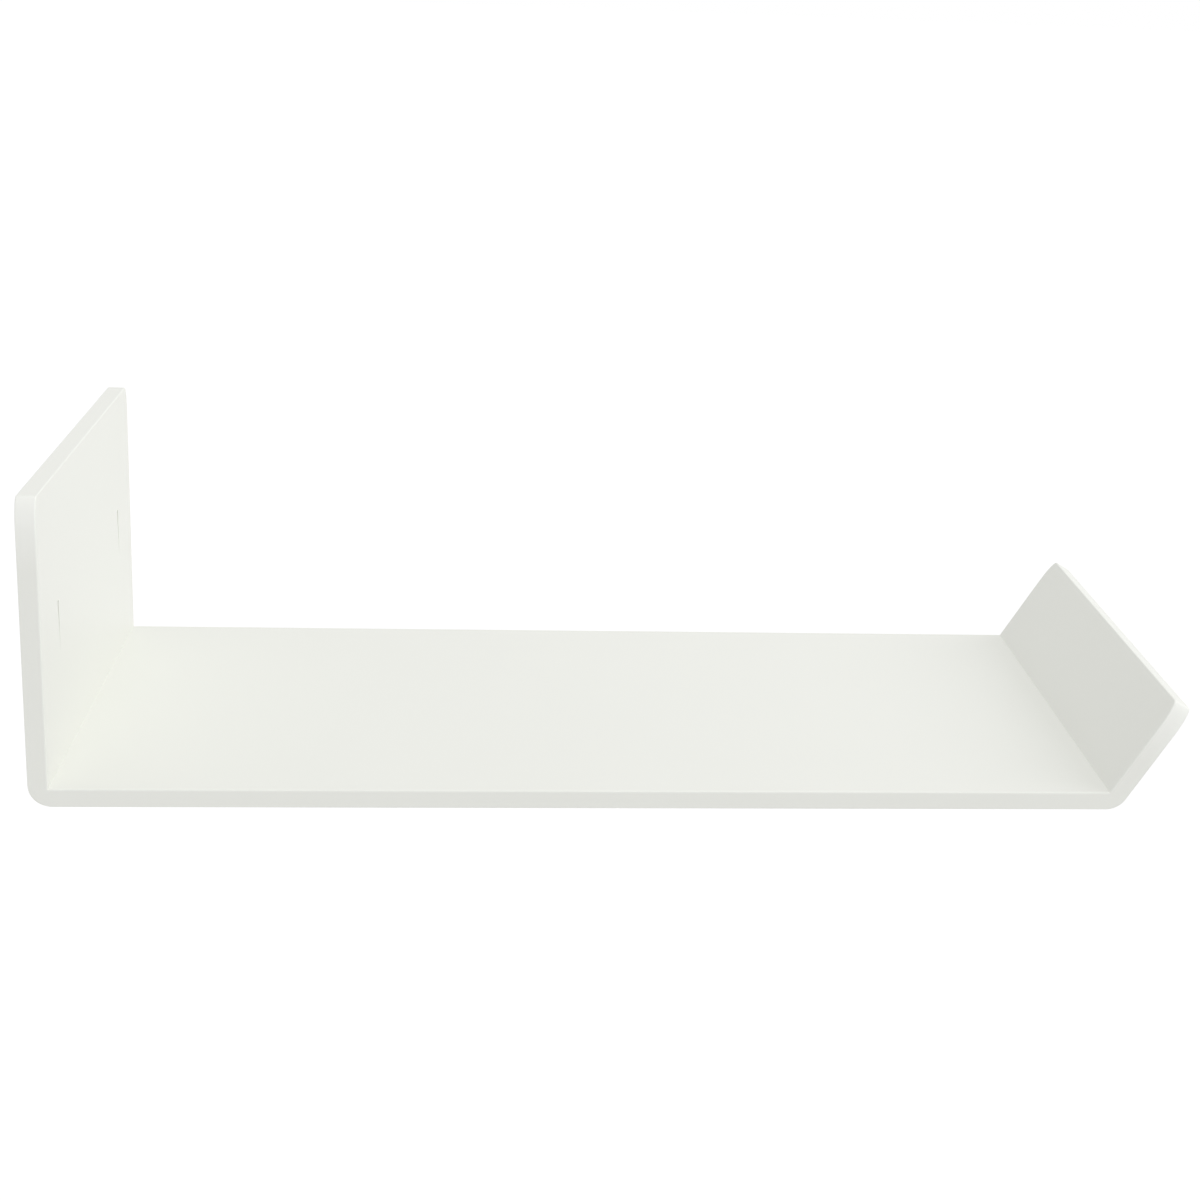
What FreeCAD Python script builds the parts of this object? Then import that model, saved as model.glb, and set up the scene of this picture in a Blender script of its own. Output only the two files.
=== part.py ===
import FreeCAD, Part
import math
import os
from collections import namedtuple

from FreeCAD import Vector

# A floating wall shelf, in millimetres. Three 10 mm panels, a tall upright, a level board and
# a short flap that leans outwards, are mitred and glued into one profile, with a plywood tongue
# in each mitre. The shelf slides onto steel rods that stand out of two narrow wall plates, and
# its back edges hide both plates.
#
# +X runs along the wall to the right, +Y into the wall and +Z up. The origin is on the wall,
# at the middle of the shelf's width and of the board's thickness.

# ---- driving dimensions -------------------------------------------------------------------

WIDTH = 600.0  # upright's outer face to the flap's tip
DEPTH = 180.0
THICKNESS = 10.2  # a 10 mm panel with 0.1 mm of lacquer on each face
UPRIGHT_RISE = 156.5  # above the board's top face
FLAP_LENGTH = 60.5  # along its inner face
FLAP_ANGLE = 60.0  # degrees between the board's line and the flap
BEND_RADIUS = 12.0  # outside of both bends; the inside corners are sharp
ARRIS_RADIUS = 0.8
CORNER_DEPTH = 4.0  # the free corners are quarter ellipses: this far along the depth
CORNER_RISE = 16.0  # and this far along the panel

SLIT_WIDTH = 2.0
SLIT_TOP = 89.0  # above the board's top face
SLIT_BOTTOM = 60.0  # where its sloping floor runs out
SLIT_DEEPEST = 0.6  # at the top end
SLIT_INSET = 30.0  # from the front edge and from the back edge

TONGUE_THICKNESS = 2.0
TONGUE_WIDTH = 5.0
TONGUE_DROP = 6.0  # from the inside corner to the tongue's middle, along the mitre
TONGUE_STOP = 12.0  # from the panel's front and back edges

PLATE_THICKNESS = 3.0
PLATE_LIP = 2.0  # panel left between the plate and the inner face
PLATE_SHY = 0.2  # the plate's side sits this far inside the outer face
PLATE_GAP = 0.1  # between the plate and the floor of its rebate
PLATE_END = 6.0  # from the outer rods' middle to the plate's ends
REBATE_END = 0.5  # between the plate's ends and the rebate's ends
PLATE_CORNER = 1.0

ROD_RADIUS = 2.5
ROD_REACH = 90.0  # from the wall to the rod's tip
ROD_CHAMFER = 0.6
SPIGOT_RADIUS = 2.0  # the rod's turned-down end, riveted in the plate
BORE_CLEARANCE = 0.05  # on the radius
BORE_SPARE = 2.0  # beyond the rod's tip

SCREW_HOLE_RADIUS = 2.1  # for a 4 mm countersunk screw
COUNTERSINK_RADIUS = 3.5

UPRIGHT_PLATE_MIDDLE = 77.5  # above the board's top face
UPRIGHT_ROD_SPACING = 100.0
UPRIGHT_SCREW_SPACING = 64.0
FLAP_PLATE_MIDDLE = 26.0  # along the flap from its foot
FLAP_ROD_SPACING = 28.0
FLAP_SCREW_SPACING = 13.0

OVERSIZE = 5.0  # how far a cutter stands out past the face that it cuts
HALF_SPACE = 1000.0

# ---- places that follow from them ---------------------------------------------------------

LEFT = -WIDTH / 2
TOP = THICKNESS / 2
BOTTOM = -THICKNESS / 2
LEAN = math.radians(FLAP_ANGLE)
FOOT_X = WIDTH / 2 - FLAP_LENGTH * math.cos(LEAN) - THICKNESS * math.sin(LEAN)

# A side gives a panel's own directions: corner is the inside corner that it rises from, along
# runs up its inner face, and out goes through its thickness. Its y is always the shelf's own.
Side = namedtuple("Side", "corner along out")
UPRIGHT = Side(Vector(LEFT + THICKNESS, 0, TOP), Vector(0, 0, 1), Vector(-1, 0, 0))
FLAP = Side(
    Vector(FOOT_X, 0, TOP),
    Vector(math.cos(LEAN), 0, math.sin(LEAN)),
    Vector(math.sin(LEAN), 0, -math.cos(LEAN)),
)


def mitre_of(side):
    """The mitre below a panel: along is square to it, out runs down it from the inside corner."""
    board_down = Vector(0, 0, -1)
    down = (side.out + board_down).normalize()
    across = side.along - down * side.along.dot(down)
    return Side(side.corner, across.normalize(), down)


UPRIGHT_MITRE = mitre_of(UPRIGHT)
FLAP_MITRE = mitre_of(FLAP)


def spot(side, rise, across, y=0.0):
    """A point given by its rise along a side, its distance through it and its y."""
    return side.corner + side.along * rise + side.out * across + Vector(0, y, 0)


def prism(side, outline, y_from, y_to):
    """A solid between two y values, with an outline of (rise, across) points."""
    points = [spot(side, rise, across, y_from) for rise, across in outline]
    face = Part.Face(Part.makePolygon(points + points[:1]))
    return face.extrude(Vector(0, y_to - y_from, 0))


def block(side, rises, acrosses, ys):
    """A rectangular solid between two rises, two distances through the side and two y values."""
    low, high = rises
    near, far = acrosses
    return prism(side, [(low, near), (high, near), (high, far), (low, far)], *ys)


def rod(side, rise, across, radius, y_from, y_to):
    """A round bar or hole that runs along y."""
    base = spot(side, rise, across, y_from)
    direction = Vector(0, math.copysign(1, y_to - y_from), 0)
    return Part.makeCylinder(radius, abs(y_to - y_from), base, direction)


# ---- the three panels ---------------------------------------------------------------------


def bend(side, turn):
    """The three points of an outer bend of this turn: on the panel, at its middle, on the board."""
    tangent = BEND_RADIUS * math.tan(turn / 2)
    outer = side.corner + mitre_of(side).out * (THICKNESS / math.cos(turn / 2))
    towards_board = -math.copysign(1, side.corner.x)
    on_board = outer + Vector(towards_board * tangent, 0, 0)
    centre = on_board + Vector(0, 0, BEND_RADIUS)
    middle = centre + mitre_of(side).out * BEND_RADIUS
    return outer + side.along * tangent, middle, on_board


def profile():
    """The whole shelf seen from the front, as one solid over the full depth."""
    upright_in = spot(UPRIGHT, UPRIGHT_RISE, 0)
    upright_out = spot(UPRIGHT, UPRIGHT_RISE, THICKNESS)
    flap_in = spot(FLAP, FLAP_LENGTH, 0)
    flap_out = spot(FLAP, FLAP_LENGTH, THICKNESS)
    left_start, left_middle, left_end = bend(UPRIGHT, math.pi / 2)
    right_end, right_middle, right_start = bend(FLAP, LEAN)
    edges = [
        Part.makeLine(upright_in, upright_out),
        Part.makeLine(upright_out, left_start),
        Part.Arc(left_start, left_middle, left_end).toShape(),
        Part.makeLine(left_end, right_start),
        Part.Arc(right_start, right_middle, right_end).toShape(),
        Part.makeLine(right_end, flap_out),
        Part.makeLine(flap_out, flap_in),
        Part.makeLine(flap_in, FLAP.corner),
        Part.makeLine(FLAP.corner, UPRIGHT.corner),
        Part.makeLine(UPRIGHT.corner, upright_in),
    ]
    return Part.Face(Part.Wire(edges)).extrude(Vector(0, -DEPTH, 0))


def corner_cutter(side, length, outwards, edge_y):
    """What a quarter ellipse leaves off a panel's free corner at its front or back edge."""
    centre = spot(side, length - CORNER_RISE, -OVERSIZE, edge_y) - outwards * CORNER_DEPTH
    top = centre + side.along * CORNER_RISE
    edge = centre + outwards * CORNER_DEPTH
    ellipse = Part.Ellipse(top, edge, centre)
    far_edge = edge + outwards * OVERSIZE
    far_top = top + side.along * OVERSIZE
    far_corner = far_edge + side.along * (CORNER_RISE + OVERSIZE)
    edges = [
        Part.ArcOfEllipse(ellipse, 0, math.pi / 2).toShape(),
        Part.makeLine(edge, far_edge),
        Part.makeLine(far_edge, far_corner),
        Part.makeLine(far_corner, far_top),
        Part.makeLine(far_top, top),
    ]
    return Part.Face(Part.Wire(edges)).extrude(side.out * (THICKNESS + 2 * OVERSIZE))


def beyond(mitre):
    """A block that fills the panel's side of a mitre."""
    half = HALF_SPACE / 2
    solid = Part.makeBox(HALF_SPACE, HALF_SPACE, HALF_SPACE, Vector(-half, -half, 0))
    turn = FreeCAD.Rotation(Vector(0, 0, 1), mitre.along)
    solid.Placement = FreeCAD.Placement(mitre.corner, turn)
    return solid


def is_sharp(edge, faces):
    """Whether the two faces that meet at an edge turn by more than 10 degrees there."""
    middle = edge.valueAt((edge.FirstParameter + edge.LastParameter) / 2)
    normals = [face.normalAt(*face.Surface.parameter(middle)) for face in faces]
    return normals[0].getAngle(normals[1]) > math.radians(10)


def lies_on(edge, mitre):
    """Whether an edge lies in a mitre's plane."""
    ends = [vertex.Point for vertex in edge.Vertexes]
    return all(abs((end - mitre.corner).dot(mitre.along)) < 1e-4 for end in ends)


def ease_arrises(solid, mitres):
    """Round every sharp edge apart from those of the mitre cuts."""
    edges = []
    for edge in solid.Edges:
        faces = solid.ancestorsOfType(edge, Part.Face)
        if is_sharp(edge, faces) and not any(lies_on(edge, mitre) for mitre in mitres):
            edges.append(edge)
    return solid.makeFillet(ARRIS_RADIUS, edges)


def blank_panels():
    """The upright, the board and the flap, cut from one profile at the mitres and eased."""
    whole = profile()
    for side, length in ((UPRIGHT, UPRIGHT_RISE), (FLAP, FLAP_LENGTH)):
        whole = whole.cut(corner_cutter(side, length, Vector(0, -1, 0), -DEPTH))
        whole = whole.cut(corner_cutter(side, length, Vector(0, 1, 0), 0))
    left, right = beyond(UPRIGHT_MITRE), beyond(FLAP_MITRE)
    upright = whole.common(left).Solids[0]
    flap = whole.common(right).Solids[0]
    board = whole.cut([left, right]).Solids[0]
    return (
        ease_arrises(upright, [UPRIGHT_MITRE]),
        ease_arrises(board, [UPRIGHT_MITRE, FLAP_MITRE]),
        ease_arrises(flap, [FLAP_MITRE]),
    )


def slit(y):
    """A shallow upright slit in the upright's inner face. Its floor slopes out to the face."""
    outline = [
        (SLIT_BOTTOM, 0),
        (SLIT_TOP, SLIT_DEEPEST),
        (SLIT_TOP, -OVERSIZE),
        (SLIT_BOTTOM, -OVERSIZE),
    ]
    return prism(UPRIGHT, outline, y - SLIT_WIDTH / 2, y + SLIT_WIDTH / 2)


def tongue(mitre):
    """A plywood tongue across a mitre, stopped short of the front and back edges."""
    half_width = TONGUE_WIDTH / 2
    half_thickness = TONGUE_THICKNESS / 2
    return block(
        mitre,
        (-half_width, half_width),
        (TONGUE_DROP - half_thickness, TONGUE_DROP + half_thickness),
        (-DEPTH + TONGUE_STOP, -TONGUE_STOP),
    )


# ---- the two wall plates and their rods ---------------------------------------------------

# middle is the plate's middle along its side; the rods and screws stand evenly about it.
Bracket = namedtuple("Bracket", "side middle rod_spacing screw_spacing")
UPRIGHT_BRACKET = Bracket(
    UPRIGHT, UPRIGHT_PLATE_MIDDLE, UPRIGHT_ROD_SPACING, UPRIGHT_SCREW_SPACING
)
FLAP_BRACKET = Bracket(FLAP, FLAP_PLATE_MIDDLE, FLAP_ROD_SPACING, FLAP_SCREW_SPACING)


def about(middle, spacing):
    """The two places that stand evenly about a middle, the lower one first."""
    return middle - spacing / 2, middle + spacing / 2


def plate_ends(bracket):
    """The plate's lower and upper end, along its side."""
    return about(bracket.middle, bracket.rod_spacing + 2 * PLATE_END)


def wall_plate(bracket):
    """A narrow steel plate with two countersunk screw holes and a hole for each rod's spigot."""
    near, far = PLATE_LIP, THICKNESS - PLATE_SHY
    plate = block(bracket.side, plate_ends(bracket), (near, far), (-PLATE_THICKNESS, 0))
    upright_edges = [e for e in plate.Edges if abs(e.tangentAt(e.FirstParameter).y) > 0.5]
    plate = plate.makeFillet(PLATE_CORNER, upright_edges)
    sink = COUNTERSINK_RADIUS - SCREW_HOLE_RADIUS
    for rise in about(bracket.middle, bracket.screw_spacing):
        across = (near + far) / 2
        hole = rod(bracket.side, rise, across, SCREW_HOLE_RADIUS, -PLATE_THICKNESS, 0)
        mouth = spot(bracket.side, rise, across, -PLATE_THICKNESS)
        cone = Part.makeCone(
            COUNTERSINK_RADIUS, SCREW_HOLE_RADIUS, sink, mouth, Vector(0, 1, 0)
        )
        plate = plate.cut(hole).cut(cone)
    for rise in about(bracket.middle, bracket.rod_spacing):
        hole = rod(
            bracket.side, rise, THICKNESS / 2, SPIGOT_RADIUS, -PLATE_THICKNESS, 0
        )
        plate = plate.cut(hole)
    return plate


def wall_rod(bracket, rise):
    """A steel rod with a chamfered tip and a thinner spigot that fills its hole in the plate."""
    across = THICKNESS / 2
    bar = rod(bracket.side, rise, across, ROD_RADIUS, -PLATE_THICKNESS, -ROD_REACH)
    tip = min(bar.Edges, key=lambda edge: edge.CenterOfMass.y)
    bar = bar.makeChamfer(ROD_CHAMFER, [tip])
    spigot = rod(bracket.side, rise, across, SPIGOT_RADIUS, -PLATE_THICKNESS, 0)
    return bar.fuse(spigot).removeSplitter().Solids[0]


def make_room(panel, bracket):
    """Cut the plate's rebate, open to the wall and to the outer face, and the rods' bores."""
    low, high = plate_ends(bracket)
    floor = -PLATE_THICKNESS - PLATE_GAP
    rebate = block(
        bracket.side,
        (low - REBATE_END, high + REBATE_END),
        (PLATE_LIP - PLATE_GAP, THICKNESS + OVERSIZE),
        (floor, OVERSIZE),
    )
    panel = panel.cut(rebate)
    for rise in about(bracket.middle, bracket.rod_spacing):
        bore = rod(
            bracket.side,
            rise,
            THICKNESS / 2,
            ROD_RADIUS + BORE_CLEARANCE,
            OVERSIZE,
            -ROD_REACH - BORE_SPARE,
        )
        panel = panel.cut(bore)
    return panel


# ---- all of it ----------------------------------------------------------------------------


def build():
    """Every sub-part by its name."""
    upright, board, flap = blank_panels()
    upright_tongue = tongue(UPRIGHT_MITRE)
    flap_tongue = tongue(FLAP_MITRE)
    upright = make_room(upright.cut(upright_tongue), UPRIGHT_BRACKET)
    for y in (-SLIT_INSET, -DEPTH + SLIT_INSET):
        upright = upright.cut(slit(y))
    parts = {
        "upright_panel": upright,
        "shelf_board": board.cut([upright_tongue, flap_tongue]),
        "flap_panel": make_room(flap.cut(flap_tongue), FLAP_BRACKET),
        "upright_tongue": upright_tongue,
        "flap_tongue": flap_tongue,
    }
    for name, bracket in (("upright", UPRIGHT_BRACKET), ("flap", FLAP_BRACKET)):
        lower, upper = about(bracket.middle, bracket.rod_spacing)
        parts[f"{name}_wall_plate"] = wall_plate(bracket)
        parts[f"{name}_rod_lower"] = wall_rod(bracket, lower)
        parts[f"{name}_rod_upper"] = wall_rod(bracket, upper)
    return parts


def main():
    os.makedirs("parts", exist_ok=True)
    for name, shape in build().items():
        solid = shape.Solids[0]
        solid.exportStep(f"parts/{name}.step")
        box = solid.BoundBox
        print(
            f"{name}: {len(shape.Solids)} solid, valid {solid.isValid()}, {solid.Volume:.1f} mm3,"
            f" x {box.XMin:.2f} to {box.XMax:.2f}, y {box.YMin:.2f} to {box.YMax:.2f},"
            f" z {box.ZMin:.2f} to {box.ZMax:.2f}"
        )


main()
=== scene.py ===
# %% [markdown]
# # A floating wall shelf
#
# The shelf is three thin panels mitred into one bent profile: a tall upright, a level board and
# a short flap that leans outwards. Satin lacquer covers it all. Out of sight, two narrow steel
# plates sit in its back edges, and four steel rods stand out of them into the panels.
#
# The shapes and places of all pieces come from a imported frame, so this lesson is about finish:
# how light rolls over an eased edge, how lacquer differs from bare board, and how zinc on a
# drawn bar differs from zinc on a stamped plate. Everything is in metres. X runs along the wall
# to the right, Y into the wall and Z up.

# %% Load the frame
import math

import bmesh
import bpy
import numpy as np
from mathutils import Matrix, Vector


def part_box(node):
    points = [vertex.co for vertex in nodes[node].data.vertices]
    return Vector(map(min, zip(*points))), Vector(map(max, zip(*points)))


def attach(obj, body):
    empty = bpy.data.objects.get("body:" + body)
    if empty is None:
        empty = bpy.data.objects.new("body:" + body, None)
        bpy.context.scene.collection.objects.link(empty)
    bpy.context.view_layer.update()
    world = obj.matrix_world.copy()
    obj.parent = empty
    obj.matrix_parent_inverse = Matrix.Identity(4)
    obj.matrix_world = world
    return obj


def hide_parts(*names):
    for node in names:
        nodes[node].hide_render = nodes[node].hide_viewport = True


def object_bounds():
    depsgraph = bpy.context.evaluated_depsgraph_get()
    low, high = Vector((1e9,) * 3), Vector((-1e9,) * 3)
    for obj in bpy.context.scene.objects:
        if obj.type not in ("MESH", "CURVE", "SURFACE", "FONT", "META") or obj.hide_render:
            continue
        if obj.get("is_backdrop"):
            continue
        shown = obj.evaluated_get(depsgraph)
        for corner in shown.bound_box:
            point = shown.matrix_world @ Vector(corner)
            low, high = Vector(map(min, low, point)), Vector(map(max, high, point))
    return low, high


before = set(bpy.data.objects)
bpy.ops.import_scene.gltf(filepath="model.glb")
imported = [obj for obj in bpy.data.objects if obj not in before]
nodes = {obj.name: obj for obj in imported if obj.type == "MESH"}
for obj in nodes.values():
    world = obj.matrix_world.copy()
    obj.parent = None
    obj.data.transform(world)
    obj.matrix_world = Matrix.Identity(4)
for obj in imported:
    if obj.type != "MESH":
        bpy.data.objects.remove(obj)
scene = bpy.context.scene
scene.view_settings.view_transform = "Standard"
cad_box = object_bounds()
print("nodes:", ", ".join(sorted(nodes)))

# %% [markdown]
# ## Millimetres and colours
#
# A maker thinks in millimetres and a painter in colour codes, but Blender wants metres and
# linear light. Two small things translate, so that every value below can be written the way a
# person would say it. The curve from code to light is the sRGB one: nearly a square, with a
# short straight piece at the dark end.

# %% Two translations
MM = 0.001


def linear(code):
    """A code's linear colour: each channel c becomes ((c + 0.055) / 1.055) to the power 2.4."""
    channels = np.array([int(code[i : i + 2], 16) for i in (1, 3, 5)]) / 255
    light = np.where(channels <= 0.04045, channels / 12.92, ((channels + 0.055) / 1.055) ** 2.4)
    return (*light.tolist(), 1.0)


print("lacquer white in linear light:", [round(c, 3) for c in linear("#EFF0EA")])

# %% [markdown]
# ## The shelf's own directions
#
# Each standing panel has its own directions: it rises along its inner face, and goes out
# through its thickness. With them a question such as "how far below the free end is this
# point" is one dot product, for the square upright and for the leaning flap alike. The places
# come from the frame's boxes. Only the lean, one length and the radii are stated here, because
# no box tells them.

# %% Measures of the panels
board_low, board_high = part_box("shelf_board")
upright_low, upright_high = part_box("upright_panel")
flap_low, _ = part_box("flap_panel")

THICKNESS = board_high.z - board_low.z
FRONT = board_low.y
LEAN = math.radians(60)
FLAP_LENGTH = 60.5 * MM
ARRIS_RADIUS = 0.8 * MM  # of every eased edge
BEND_RADIUS = 12 * MM  # outside of both bends
CORNER_DEPTH, CORNER_RISE = 4 * MM, 16 * MM  # half axes of the free corners' quarter ellipses


class Side:
    """A standing panel's inside corner, its directions, and its length along the inner face."""

    def __init__(self, corner, along, out, length):
        self.corner, self.along, self.out = map(np.array, (corner, along, out))
        self.length = length
        # The bend's centre line lies BEND_RADIUS inside both outer faces.
        rise = BEND_RADIUS - THICKNESS
        run = (rise - rise * self.out[2]) / abs(self.out[0])
        self.bend = self.corner + (-math.copysign(run, self.out[0]), 0, rise)

    def measure(self, points):
        """Distance through the panel and below its free end: dot products with out and along."""
        away = points - self.corner
        return away @ self.out, self.length - away @ self.along


sides = {
    "upright_panel": Side(
        corner=(upright_low.x + THICKNESS, 0, board_high.z),
        along=(0, 0, 1),
        out=(-1, 0, 0),
        length=upright_high.z - board_high.z,
    ),
    "flap_panel": Side(
        corner=(flap_low.x, 0, board_high.z),
        along=(math.cos(LEAN), 0, math.sin(LEAN)),
        out=(math.sin(LEAN), 0, -math.cos(LEAN)),
        length=FLAP_LENGTH,
    ),
}
for name, side in sides.items():
    centre = np.round(side.bend / MM, 2)
    print(f"{name}: {side.length / MM:.1f} mm long, bend centred at {centre} mm")

# %% [markdown]
# ## The camera
#
# The shelf is seen from a little above and straight from the front, the way a product picture
# shows it. Such a picture is taken with a lens that slides up and down in front of the film, so
# that uprights stay nearly upright. Blender's name for that is shift. Pitch, yaw and roll are
# three turns, made one after the other.

# %% Place the camera
camera_data = bpy.data.cameras.new("studio_camera")
camera_data.lens = 44.53
camera_data.shift_x = 0.0065
camera_data.shift_y = -0.28
camera = bpy.data.objects.new("studio_camera", camera_data)
scene.collection.objects.link(camera)
scene.camera = camera

PITCH, YAW, ROLL = (math.radians(angle) for angle in (12.77, -3.835, 2.355))
camera.matrix_world = (
    Matrix.Translation((-0.0712, -0.8665, 0.4407))
    @ Matrix.Rotation(YAW, 4, "Z")
    @ Matrix.Rotation(math.pi / 2 - PITCH, 4, "X")
    @ Matrix.Rotation(ROLL, 4, "Z")
)
print("camera at", [round(c, 3) for c in camera.matrix_world.translation])

# %% [markdown]
# ## A helper for node trees
#
# Every material below is a handful of nodes with a few settings and links. One function adds
# any node: a plain value is set on its socket, and a socket of another node is linked to it.

# %% One function adds a node
def add(tree, kind, inputs=None, **settings):
    """Add a node; inputs maps a socket's name or number to a value or to another node's socket."""
    node = tree.nodes.new("ShaderNode" + kind)
    for key, value in settings.items():
        setattr(node, key, value)
    for key, value in (inputs or {}).items():
        if isinstance(value, bpy.types.NodeSocket):
            tree.links.new(value, node.inputs[key])
        else:
            node.inputs[key].default_value = value
    return node


def empty_material(name):
    """A material with only an output node: returns it, its tree and the output's socket."""
    material = bpy.data.materials.new(name)
    material.use_nodes = True
    material.node_tree.nodes.clear()
    surface = add(material.node_tree, "OutputMaterial").inputs["Surface"]
    return material, material.node_tree, surface


print("helpers ready")

# %% [markdown]
# ## Studio: a white sky and three soft lamps
#
# A pale object on a pale ground needs light that comes from everywhere, with a little more from
# one side, or its faces would all look alike. The sky does most of it. Two suns stand in for
# lamps so large and far off that they light the whole room evenly. Blender calls a lamp's width
# in the sky its angle, and at 40 degrees its shadows are so soft that they hardly have an edge.
# One on the right makes the faces that look right and up the brightest, and one by the camera
# lifts the front. A small lamp hangs over the left end. Light from it is thrown to and fro
# between upright and board, which makes their corner glow.
#
# The sky lights the shelf with less than full white, but has to look fully white behind it. The
# Light Path node tells the two apart: rays that come from the camera, or by way of a mirror or
# glass, see white.

# %% Sky and lamps
WHITE = (1, 1, 1, 1)
SKY_LIGHT = 0.63
SUN_LIGHT = 0.72
LAMP_WATTS = 1.45
LAMP_SIZE = 0.8
SOFT = math.radians(40)


def background_ray(tree):
    """1 on rays that show a background: from the camera, by a mirror, or through glass."""
    path = add(tree, "LightPath").outputs
    mirrored = add(
        tree, "Math", {0: path["Is Camera Ray"], 1: path["Is Glossy Ray"]}, operation="MAXIMUM"
    )
    return add(
        tree, "Math", {0: mirrored.outputs[0], 1: path["Is Transmission Ray"]}, operation="MAXIMUM"
    ).outputs[0]


def lamp(name, kind, strength, aim, away):
    """A lamp at aim + away that faces its aim: its -Z axis points back along away."""
    light = bpy.data.lights.new(name, kind)
    light.energy = strength
    holder = bpy.data.objects.new(name, light)
    holder.location = Vector(aim) + Vector(away)
    holder.rotation_euler = Vector(away).to_track_quat("Z", "Y").to_euler()
    scene.collection.objects.link(holder)
    return light


world = bpy.data.worlds.new("white_studio")
world.use_nodes = True
sky = world.node_tree
sky.nodes.clear()
lighting = add(sky, "Background", {"Color": WHITE, "Strength": SKY_LIGHT})
backdrop = add(sky, "Background", {"Color": WHITE, "Strength": 1.0})
either = add(
    sky, "MixShader", {0: background_ray(sky), 1: lighting.outputs[0], 2: backdrop.outputs[0]}
)
add(sky, "OutputWorld", {"Surface": either.outputs[0]})
scene.world = world

middle = (board_low + board_high) / 2
left_end = (upright_low.x, middle.y, 0)
lamp("key_from_the_right", "SUN", SUN_LIGHT, middle, (3, 0, 2.4)).angle = SOFT
lamp("fill_by_the_camera", "SUN", SUN_LIGHT, middle, (0, -3, 0.3)).angle = SOFT
small = lamp("small_lamp_over_the_left_end", "AREA", LAMP_WATTS, left_end, (0.5, 0, 0.8))
small.size = LAMP_SIZE

# %% [markdown]
# ## Floor
#
# The shelf hangs, so the floor is 1.2 m below it, as in a room. It is a real matt surface that
# catches shadows and throws light back up. Rays that see it directly get a little glow on top,
# which lifts its pale grey to the white of the sky, so that no horizon shows.

# %% Floor
FLOOR_DROP = 1.2
FLOOR_HALF = 30.0
FLOOR_GLOW = 0.4

floor_paint, tree, surface = empty_material("matt_white_floor_paint")
matt = add(tree, "BsdfDiffuse", {"Color": linear("#E7E7E7")})
glow = add(tree, "Emission", {"Color": WHITE, "Strength": FLOOR_GLOW})
glowing = add(tree, "AddShader", {0: matt.outputs[0], 1: glow.outputs[0]})
seen = add(tree, "MixShader", {0: background_ray(tree), 1: matt.outputs[0], 2: glowing.outputs[0]})
tree.links.new(seen.outputs[0], surface)

corners = np.array([(-1, -1), (1, -1), (1, 1), (-1, 1)]) * FLOOR_HALF
floor_mesh = bpy.data.meshes.new("floor")
floor_mesh.from_pydata(np.column_stack([corners, np.full(4, -FLOOR_DROP)]), [], [(0, 1, 2, 3)])
floor_mesh.materials.append(floor_paint)
floor = bpy.data.objects.new("floor", floor_mesh)
scene.collection.objects.link(floor)
floor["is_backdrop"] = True
print(f"floor {FLOOR_DROP} m below the shelf")

# %% [markdown]
# ## Satin lacquer
#
# The panels are sprayed with warm white acrylic lacquer that dries to a low sheen: it spreads
# light widely, and gleams faintly where it is looked along. Sprayed lacquer never lies quite
# level. It keeps a fine orange peel of waves 2 to 3 mm long and a few micrometres high, and its
# sheen wanders a little from one pass of the gun to the next. Acrylic has an IOR of 1.5.
#
# The front edges of both standing panels are painted whiter towards their free ends. That is a
# painted highlight: the lighter colour stands in for the light that a soft ease of the edge would
# catch there. How far a point lies below the free end is a dot product once more, this time done by
# the Vector Math node, and the surface's own direction tells the front edge from the faces beside
# it.

# %% Lacquer
SPRAY_PASS = 90 * MM
SHEEN = (0.38, 0.46)  # roughness from one pass to the next
ORANGE_PEEL = 2.5 * MM
PEEL_HEIGHT = 0.006 * MM
LACQUER_IOR = 1.5
# PALE_FROM, PALE_TO and the last white below make a painted highlight: the front edges' free ends
# are coloured whiter, in place of light that an eased edge would catch.
PALE_FROM = 38 * MM  # below the free end
PALE_TO = 13 * MM
COOL_WHITE, WARM_WHITE, PAINTED_HIGHLIGHT_WHITE = linear("#EEEFE9"), linear("#F0F1EB"), linear("#F8F9F4")


def painted_highlight_at_free_end(tree, place, normal, side):
    """Painted highlight: 1 near a front edge's free end, a ramp in along . place, times -Y facing.
    """
    rise = add(tree, "VectorMath", {0: place, 1: side.along.tolist()}, operation="DOT_PRODUCT")
    end = side.length + side.corner @ side.along
    near = add(
        tree,
        "MapRange",
        {"Value": rise.outputs["Value"], "From Min": end - PALE_FROM, "From Max": end - PALE_TO},
    )
    forward = add(tree, "VectorMath", {0: normal, 1: (0, -1, 0)}, operation="DOT_PRODUCT")
    return add(
        tree,
        "Math",
        {0: near.outputs[0], 1: forward.outputs["Value"]},
        operation="MULTIPLY",
        use_clamp=True,
    ).outputs[0]


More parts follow.
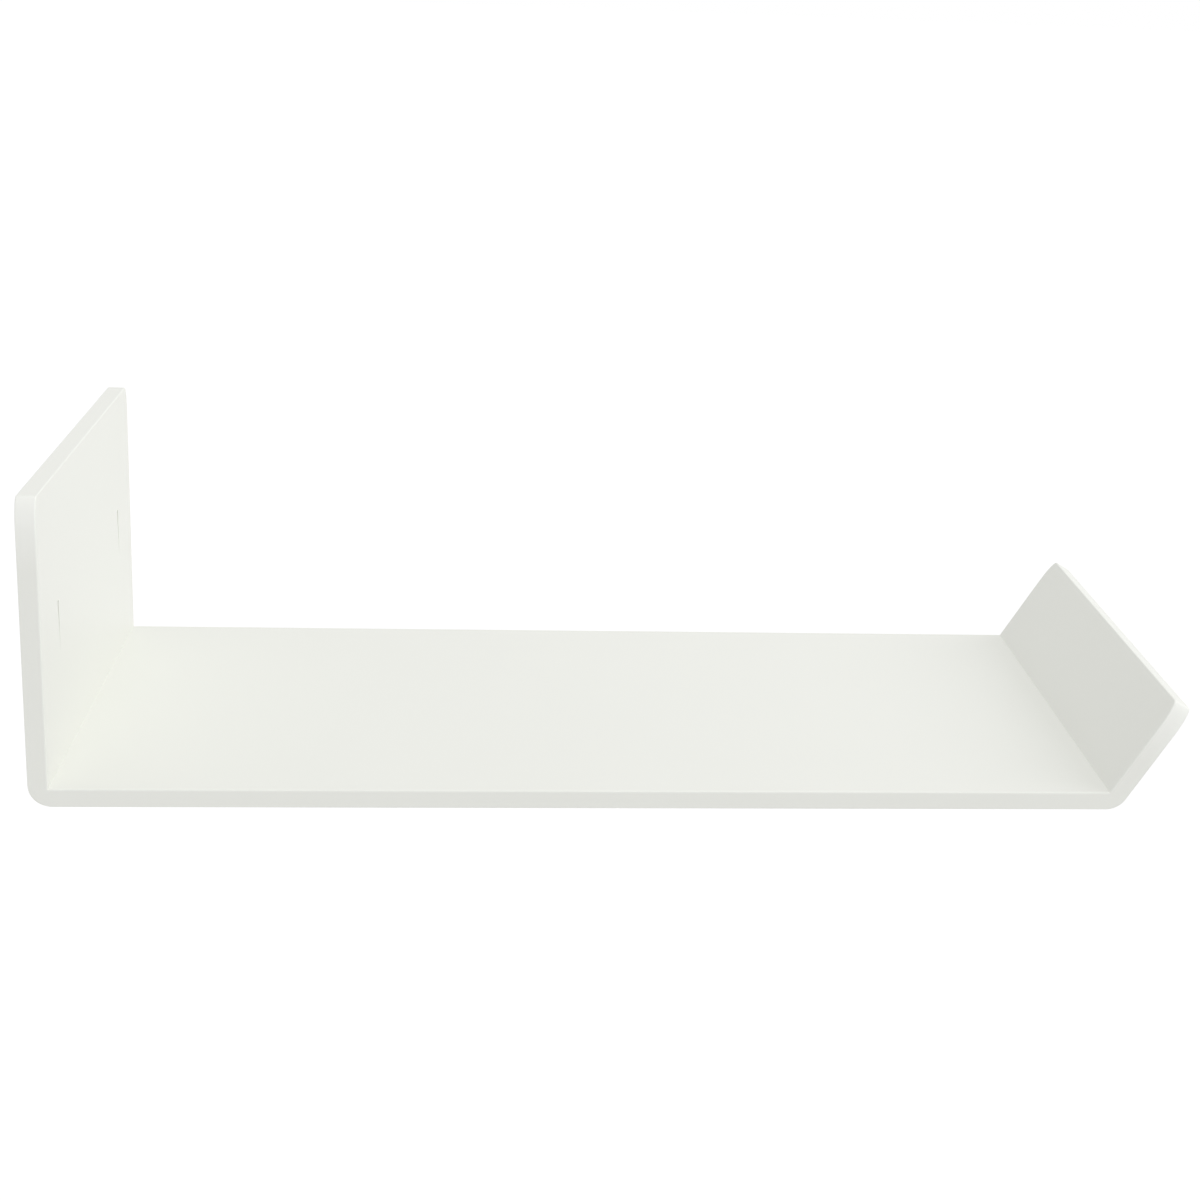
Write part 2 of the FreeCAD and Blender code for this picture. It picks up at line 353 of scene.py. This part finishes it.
def sprayed_lacquer(name, side=None):
    """Satin acrylic lacquer, with a painted highlight at the front of a side's free end."""
    material, tree, surface = empty_material(name)
    coordinates = add(tree, "TexCoord").outputs
    place = coordinates["Object"]
    passes = add(tree, "TexNoise", {"Vector": place, "Scale": 1 / SPRAY_PASS, "Detail": 2.0})
    tone = add(tree, "Mix", {0: passes.outputs[0], 6: COOL_WHITE, 7: WARM_WHITE}, data_type="RGBA")
    if side is not None:
        # The front of the free end is painted whiter: a painted highlight.
        pale = painted_highlight_at_free_end(tree, place, coordinates["Normal"], side)
        tone = add(tree, "Mix", {0: pale, 6: tone.outputs[2], 7: PAINTED_HIGHLIGHT_WHITE}, data_type="RGBA")
    low, high = SHEEN
    sheen = add(tree, "MapRange", {"Value": passes.outputs[0], "To Min": low, "To Max": high})
    peel = add(tree, "TexNoise", {"Vector": place, "Scale": 1 / ORANGE_PEEL, "Detail": 1.0})
    waves = add(tree, "Bump", {"Strength": 1.0, "Distance": PEEL_HEIGHT, "Height": peel.outputs[0]})
    coat = add(
        tree,
        "BsdfPrincipled",
        {
            "Base Color": tone.outputs[2],
            "Roughness": sheen.outputs[0],
            "Normal": waves.outputs[0],
            "IOR": LACQUER_IOR,
        },
    )
    tree.links.new(coat.outputs[0], surface)
    return material


lacquers = {
    "shelf_board": sprayed_lacquer("satin_white_lacquer_on_board"),
    "upright_panel": sprayed_lacquer("satin_white_lacquer_on_upright", sides["upright_panel"]),
    "flap_panel": sprayed_lacquer("satin_white_lacquer_on_flap", sides["flap_panel"]),
}
print("made", ", ".join(material.name for material in lacquers.values()))

# %% [markdown]
# ## Bare fibreboard
#
# Under the lacquer the panels are medium-density fibreboard: wood fibres under a millimetre
# long, pressed flat with resin. It shows only where a cutter went in after spraying, in the
# rebates for the steel plates and in the bores for the rods. Cut fibreboard is matt, tan and
# faintly fuzzy. Two noises make it: a fine one for the fibres, and a wide one for the denser
# and looser patches.

# %% Fibreboard
FIBRE = 0.5 * MM
PATCH = 6 * MM
DARK_FIBRE, PALE_FIBRE = linear("#8F6E48"), linear("#CDAE84")

core, tree, surface = empty_material("cut_medium_density_fibreboard")
place = add(tree, "TexCoord").outputs["Object"]
fibres = add(
    tree, "TexNoise", {"Vector": place, "Scale": 1 / FIBRE, "Detail": 3.0, "Roughness": 0.7}
)
patches = add(tree, "TexNoise", {"Vector": place, "Scale": 1 / PATCH, "Detail": 1.0})
both = add(
    tree, "Mix", {0: 0.35, 2: fibres.outputs[0], 3: patches.outputs[0]}, data_type="FLOAT"
)
tan = add(tree, "Mix", {0: both.outputs[0], 6: DARK_FIBRE, 7: PALE_FIBRE}, data_type="RGBA")
fuzz = add(tree, "Bump", {"Strength": 0.8, "Distance": 0.05 * MM, "Height": fibres.outputs[0]})
cut_face = add(
    tree,
    "BsdfPrincipled",
    {"Base Color": tan.outputs[2], "Roughness": 0.85, "Normal": fuzz.outputs[0]},
)
tree.links.new(cut_face.outputs[0], surface)
print("made", core.name)

# %% [markdown]
# ## The panels
#
# The panels' shapes are right as they are, down to the 0.8 mm round of every edge. What a panel
# lacks is good shading. Its mesh is loose triangles, so a copy is joined at the shared corners
# first, and triangles that lie in one plane become one face. Then the Weighted Normal modifier
# gives each flat face its exact direction, and leaves the turning to the thin strips of the
# rounded edges. That is how an eased edge gets its fine, even line of light.
#
# One thing can't come from that modifier, so numpy works it out afterwards, for all corners of
# all faces at once. Where two panels meet in a bend, each would shade its own half on its own,
# and the mitre would show as a crease. A round bend's direction is simply outwards from its
# centre line, and with that both halves agree.

# %% Copy and finish a mesh
FLAT = math.radians(0.5)
SHARP = math.radians(30)
HAIR = 0.001 * MM  # too little to matter


def joined_copy(name):
    """A node's triangles joined into flat faces at shared corners, smooth but for sharp edges."""
    solid = bmesh.new()
    solid.from_mesh(nodes[name].data)
    bmesh.ops.remove_doubles(solid, verts=solid.verts, dist=HAIR)
    bmesh.ops.dissolve_limit(solid, angle_limit=FLAT, verts=solid.verts, edges=solid.edges)
    solid.normal_update()
    for face in solid.faces:
        face.smooth = True
    for edge in solid.edges:
        edge.smooth = edge.calc_face_angle() < SHARP
    return solid


def finished_object(name, solid, *modifiers):
    """An object from a bmesh, with its modifiers applied."""
    mesh = bpy.data.meshes.new(name)
    solid.to_mesh(mesh)
    solid.free()
    piece = bpy.data.objects.new(name, mesh)
    scene.collection.objects.link(piece)
    for kind, settings in modifiers:
        modifier = piece.modifiers.new(kind.lower(), kind)
        for key, value in settings.items():
            setattr(modifier, key, value)
    depsgraph = bpy.context.evaluated_depsgraph_get()
    piece.data = bpy.data.meshes.new_from_object(piece.evaluated_get(depsgraph))
    piece.modifiers.clear()
    bpy.data.meshes.remove(mesh)
    piece.data.name = name
    return piece


trial = joined_copy("shelf_board")
triangles = len(nodes["shelf_board"].data.polygons)
print(f"shelf_board: {triangles} triangles join into {len(trial.faces)} faces")
trial.free()

# %% Work on the shading of all corners at once
NEARLY = 0.9  # where 1 would be exact


def corner_arrays(mesh):
    """The place and the normal of every face corner, as two arrays of three columns."""
    places = np.empty(len(mesh.vertices) * 3)
    mesh.vertices.foreach_get("co", places)
    owners = np.empty(len(mesh.loops), dtype=np.int32)
    mesh.loops.foreach_get("vertex_index", owners)
    normals = np.empty(len(mesh.loops) * 3)
    mesh.corner_normals.foreach_get("vector", normals)
    return places.reshape(-1, 3)[owners], normals.reshape(-1, 3)


def bend_sector(points, side):
    """Each point's way and distance from a bend's centre line, and whether the arc spans it."""
    away = (points - side.bend) * (1, 0, 1)
    radius = np.linalg.norm(away, axis=1)
    outwards = away[:, 0] * np.sign(side.out[0])
    return away, radius, (outwards > -HAIR) & (away @ side.along < HAIR)


def round_the_bend(places, normals, side):
    """On the arc, a normal's xz part keeps its length and points away from the centre line."""
    away, radius, in_sector = bend_sector(places, side)
    radial = away / np.maximum(radius, HAIR)[:, None]
    across = normals * (1, 0, 1)
    length = np.linalg.norm(across, axis=1)
    outwards = np.einsum("ij,ij->i", across, radial) > NEARLY * length
    on_arc = in_sector & outwards & (radius > BEND_RADIUS - ARRIS_RADIUS - HAIR)
    turned = radial * length[:, None] + normals * (0, 1, 0)
    return np.where(on_arc[:, None], turned, normals)


foot = sides["upright_panel"].bend - (0, 0, BEND_RADIUS)
print("lowest point of the left bend:", np.round(foot / MM, 2), "mm")

# %% [markdown]
# Which faces are bare board? All that don't lie on the outside. A point on the outside is at
# most a quarter of a millimetre under the nearest flat, because an eased edge cuts off no more.
# The arcs of the bends and the rounded free corners cut off more, and so do the two slits in
# the upright, which were lacquered with the rest: they are named one by one.

# %% Bare or lacquered
SKIN = 0.3 * MM
SLIT_DEPTHS = (-30 * MM, -150 * MM)
SLIT_HALF_WIDTH = 1 * MM
SLIT_LOW, SLIT_HIGH = 60 * MM, 89 * MM


def bare_faces(mesh, side=None):
    """True for each face whose middle is over SKIN from every flat, bend, corner and slit."""
    middles = np.empty(len(mesh.polygons) * 3)
    mesh.polygons.foreach_get("center", middles)
    middles = middles.reshape(-1, 3)
    depth = np.minimum(-middles[:, 1], middles[:, 1] - FRONT)
    if side is None:
        through = board_high.z - middles[:, 2]
        below = np.full(len(middles), np.inf)
    else:
        through, below = side.measure(middles)
    bare = np.minimum.reduce([depth, through, THICKNESS - through, below]) > SKIN
    for bend in sides.values():
        _, radius, in_sector = bend_sector(middles, bend)
        bare &= ~(in_sector & (radius > BEND_RADIUS - SKIN))
    if side is not None:
        # A rounded corner's own surface is where hypot(into_depth, into_rise) = 1.
        into_depth = np.maximum(1 - depth / CORNER_DEPTH, 0)
        into_rise = np.maximum(1 - below / CORNER_RISE, 0)
        bare &= np.hypot(into_depth, into_rise) < NEARLY
        height = side.length - below
        from_slit = np.min([np.abs(middles[:, 1] - y) for y in SLIT_DEPTHS], axis=0)
        in_slit = (from_slit < SLIT_HALF_WIDTH + SKIN) & (through < THICKNESS / 2)
        in_slit &= (height > SLIT_LOW - SKIN) & (height < SLIT_HIGH + SKIN)
        bare &= ~in_slit
    return bare


cut_off = ARRIS_RADIUS * (1 - math.sqrt(0.5))
print(f"an eased edge is {cut_off / MM:.2f} mm under the flats, the skin {SKIN / MM:.2f} mm")

# %% [markdown]
# Now the three panels can be made. Weighted Normal's weight of 100 lets the largest face at a
# corner decide alone, which is what keeps a flat flat right up to its eased edge.

# %% Make the panels
LARGEST_FACE = {"keep_sharp": True, "weight": 100}


def make_panel(node, name):
    """Put a finished copy in a CAD panel's place, with lacquer outside and bare board inside."""
    side = sides.get(node)
    panel = finished_object(name, joined_copy(node), ("WEIGHTED_NORMAL", LARGEST_FACE))
    mesh = panel.data
    places, normals = corner_arrays(mesh)
    for bend in sides.values():
        normals = round_the_bend(places, normals, bend)
    mesh.normals_split_custom_set(normals.tolist())
    mesh.materials.clear()
    mesh.materials.append(lacquers[node])
    mesh.materials.append(core)
    bare = bare_faces(mesh, side)
    mesh.polygons.foreach_set("material_index", bare.astype(np.int32))
    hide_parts(node)
    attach(panel, "shelf")
    print(f"{name}: {len(mesh.polygons)} faces, {bare.sum()} of them bare board")


make_panel("shelf_board", "lacquered_board")
make_panel("upright_panel", "lacquered_upright")
make_panel("flap_panel", "lacquered_flap")

# %% [markdown]
# ## Zinc on steel
#
# The plates are stamped from strip, brushed along their length, and zinc plated with a clear
# blue passivation. The rods are drawn through a die, which leaves straight lines along them.
# Both are metals, so their colour tints every reflection, and the fine lines spread it across
# the lines more than along them. One function makes both finishes, because only the lines'
# direction and spacing differ. Noise stretched along the lines draws them. Real lines are a
# hundredth of a millimetre apart and would never show, so they are drawn ten times as coarse.

# %% Zinc finishes
CLOUD = 12 * MM
BLUE_ZINC, GREY_ZINC = linear("#B7BCC1"), linear("#CBCBC8")
GROOVE_DEPTH = 0.01 * MM


def zinc_finish(name, stretch, spacing, roughness):
    """Lined zinc: noise with waves 'spacing' apart, stretched that many times along X, Y and Z."""
    material, tree, surface = empty_material(name)
    place = add(tree, "TexCoord").outputs["Object"]
    scale = [1 / (spacing * times) for times in stretch]
    lined = add(tree, "Mapping", {"Vector": place, "Scale": scale})
    lines = add(tree, "TexNoise", {"Vector": lined.outputs[0], "Scale": 1.0, "Detail": 2.0})
    clouds = add(tree, "TexNoise", {"Vector": place, "Scale": 1 / CLOUD, "Detail": 3.0})
    tint = add(tree, "Mix", {0: clouds.outputs[0], 6: BLUE_ZINC, 7: GREY_ZINC}, data_type="RGBA")
    low, high = roughness
    rough = add(tree, "MapRange", {"Value": lines.outputs[0], "To Min": low, "To Max": high})
    grooves = add(
        tree, "Bump", {"Strength": 0.5, "Distance": GROOVE_DEPTH, "Height": lines.outputs[0]}
    )
    metal = add(
        tree,
        "BsdfPrincipled",
        {
            "Base Color": tint.outputs[2],
            "Metallic": 1.0,
            "Roughness": rough.outputs[0],
            "Normal": grooves.outputs[0],
        },
    )
    tree.links.new(metal.outputs[0], surface)
    return material


plated_strip = zinc_finish("brushed_zinc_plated_strip", (1, 1, 40), 0.1 * MM, (0.28, 0.42))
plated_bar = zinc_finish("drawn_zinc_plated_bar", (1, 60, 1), 0.12 * MM, (0.2, 0.34))
print("made", plated_strip.name, "and", plated_bar.name)

# %% [markdown]
# ## The rods
#
# Each rod is turned from bar: a body 5 mm thick, a thinner spigot that fills its hole in the
# plate, chamfers at both ends, and a shallow dimple where the lathe's centre held it. A turned
# piece is a profile carried round an axis, so its surface has two parameters, the place on the
# profile and the angle.

# %% Turn the rods
ROD_RADIUS = 2.5 * MM
SPIGOT_RADIUS = 2.0 * MM
PLATE_THICKNESS = 3 * MM
ROD_CHAMFER = 0.6 * MM
SPIGOT_CHAMFER = 0.15 * MM
DIMPLE_RADIUS = 0.8 * MM
DIMPLE_DEPTH = 0.5 * MM
AROUND = 64


def rod_profile(tip):
    """Radius and depth along a rod's outline, from the spigot's dimple to the tip's."""
    return np.array(
        [
            (0, -DIMPLE_DEPTH),
            (DIMPLE_RADIUS, 0),
            (SPIGOT_RADIUS - SPIGOT_CHAMFER, 0),
            (SPIGOT_RADIUS, -SPIGOT_CHAMFER),
            (SPIGOT_RADIUS, -PLATE_THICKNESS),
            (ROD_RADIUS - SPIGOT_CHAMFER, -PLATE_THICKNESS),
            (ROD_RADIUS, -PLATE_THICKNESS - SPIGOT_CHAMFER),
            (ROD_RADIUS, tip + ROD_CHAMFER),
            (ROD_RADIUS - ROD_CHAMFER, tip),
            (DIMPLE_RADIUS, tip),
            (0, tip + DIMPLE_DEPTH),
        ]
    )


def turned(profile, x, z):
    """A profile's points at every angle a round an axis: (x + r cos a, depth, z + r sin a)."""
    angles = np.linspace(0, 2 * math.pi, AROUND, endpoint=False)
    rings = profile[1:-1]
    radius, depth = rings[:, :1], np.repeat(rings[:, 1:], AROUND, axis=1)
    grid = np.stack([x + radius * np.cos(angles), depth, z + radius * np.sin(angles)], axis=-1)
    poles = np.array([(x, profile[0, 1], z), (x, profile[-1, 1], z)])
    points = np.concatenate([grid.reshape(-1, 3), poles])

    step = np.arange(AROUND)
    after = (step + 1) % AROUND
    row = np.arange(len(rings) - 1)[:, None] * AROUND
    walls = np.stack([row + step, row + after, row + AROUND + after, row + AROUND + step], axis=-1)
    first, last = len(points) - 2, len(points) - 1
    end_row = (len(rings) - 1) * AROUND
    start_fan = np.stack([np.full(AROUND, first), after, step], axis=-1)
    end_fan = np.stack([np.full(AROUND, last), end_row + step, end_row + after], axis=-1)
    return points, walls.reshape(-1, 4).tolist() + start_fan.tolist() + end_fan.tolist()


def make_rod(node):
    """Put a turned rod in a CAD rod's place, on the axis through the middle of its box."""
    low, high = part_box(node)
    points, faces = turned(rod_profile(low.y), (low.x + high.x) / 2, (low.z + high.z) / 2)
    mesh = bpy.data.meshes.new(node + "_turned")
    mesh.from_pydata(points, [], faces)
    mesh.shade_smooth()
    mesh.set_sharp_from_angle(angle=SHARP)
    mesh.materials.append(plated_bar)
    rod = bpy.data.objects.new(node + "_turned", mesh)
    scene.collection.objects.link(rod)
    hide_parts(node)
    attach(rod, "wall_brackets")
    solid = bmesh.new()
    solid.from_mesh(mesh)
    volume = solid.calc_volume(signed=True) / MM**3
    solid.free()
    print(f"{rod.name}: {volume:.0f} mm3, tip at y {low.y / MM:.1f} mm")


for node in ("upright_rod_lower", "upright_rod_upper", "flap_rod_lower", "flap_rod_upper"):
    make_rod(node)

# %% [markdown]
# ## The plates
#
# A stamping's edges aren't knife sharp: the die rolls them over on one side, and tumbling breaks
# the burr on the other. The Bevel modifier takes a quarter of a millimetre off the edges of a
# joined copy, and Weighted Normal keeps the flats flat.

# %% Soften the plates
PLATE_EDGE = 0.25 * MM


def make_plate(node):
    """Put a copy with broken edges in a CAD plate's place."""
    plate = finished_object(
        node + "_stamped",
        joined_copy(node),
        (
            "BEVEL",
            {"width": PLATE_EDGE, "segments": 2, "limit_method": "ANGLE", "angle_limit": SHARP},
        ),
        ("WEIGHTED_NORMAL", LARGEST_FACE),
    )
    plate.data.materials.clear()
    plate.data.materials.append(plated_strip)
    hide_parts(node)
    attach(plate, "wall_brackets")
    print(f"{plate.name}: {len(plate.data.polygons)} faces")


for node in ("upright_wall_plate", "flap_wall_plate"):
    make_plate(node)

# %% [markdown]
# ## The tongues
#
# A strip of birch plywood is glued into each mitre, across the joint. Nobody sees it once the
# shelf is made, but it has its own look: three thin plies, pale and darker by turns because
# their grain crosses. A wave through the strip's thickness draws the plies, and noise stretched
# along the strip draws the grain. The wave texture's bands are pi / 10 apart at scale 1.

# %% Plywood
PLY = 0.7 * MM
GRAIN = 0.6 * MM
GRAIN_LENGTH = 12 * MM
BAND = math.pi / 10
CROSS_PLY, DARK_GRAIN, PALE_GRAIN = linear("#A98658"), linear("#C9A873"), linear("#E3CBA0")


def birch_plywood(name, turn):
    """Plywood whose plies lie across Z once its coordinates are turned that far round Y."""
    material, tree, surface = empty_material(name)
    place = add(tree, "TexCoord").outputs["Object"]
    upright = add(tree, "Mapping", {"Vector": place, "Rotation": (0, turn, 0)}).outputs[0]
    plies = add(
        tree,
        "TexWave",
        {"Vector": upright, "Scale": BAND / (2 * PLY), "Distortion": 0.3},
        bands_direction="Z",
    )
    along = add(
        tree, "Mapping", {"Vector": upright, "Scale": (1 / GRAIN, 1 / GRAIN_LENGTH, 1 / GRAIN)}
    )
    grain = add(tree, "TexNoise", {"Vector": along.outputs[0], "Scale": 1.0, "Detail": 3.0})
    pale = add(tree, "Mix", {0: grain.outputs[0], 6: DARK_GRAIN, 7: PALE_GRAIN}, data_type="RGBA")
    layered = add(
        tree, "Mix", {0: plies.outputs[1], 6: CROSS_PLY, 7: pale.outputs[2]}, data_type="RGBA"
    )
    pores = add(tree, "Bump", {"Strength": 0.4, "Distance": 0.03 * MM, "Height": grain.outputs[0]})
    wood = add(
        tree,
        "BsdfPrincipled",
        {"Base Color": layered.outputs[2], "Roughness": 0.7, "Normal": pores.outputs[0]},
    )
    tree.links.new(wood.outputs[0], surface)
    return material


for node, turn in (("upright_tongue", math.radians(-45)), ("flap_tongue", math.radians(30))):
    tongue = nodes[node].data
    tongue.materials.clear()
    tongue.materials.append(birch_plywood(node + "_birch_plywood", turn))
    print(node, "dressed in", tongue.materials[0].name)

# %% [markdown]
# ## Close
#
# The finished shelf has to fill the same box as the frame's solids. Both boxes are printed, in
# millimetres.

# %% Print both boxes
size = {"cad": [list(c) for c in cad_box], "visual": [list(c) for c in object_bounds()]}
for name, box in size.items():
    print(f"{name} box in mm:", [[round(v / MM, 2) for v in corner] for corner in box])
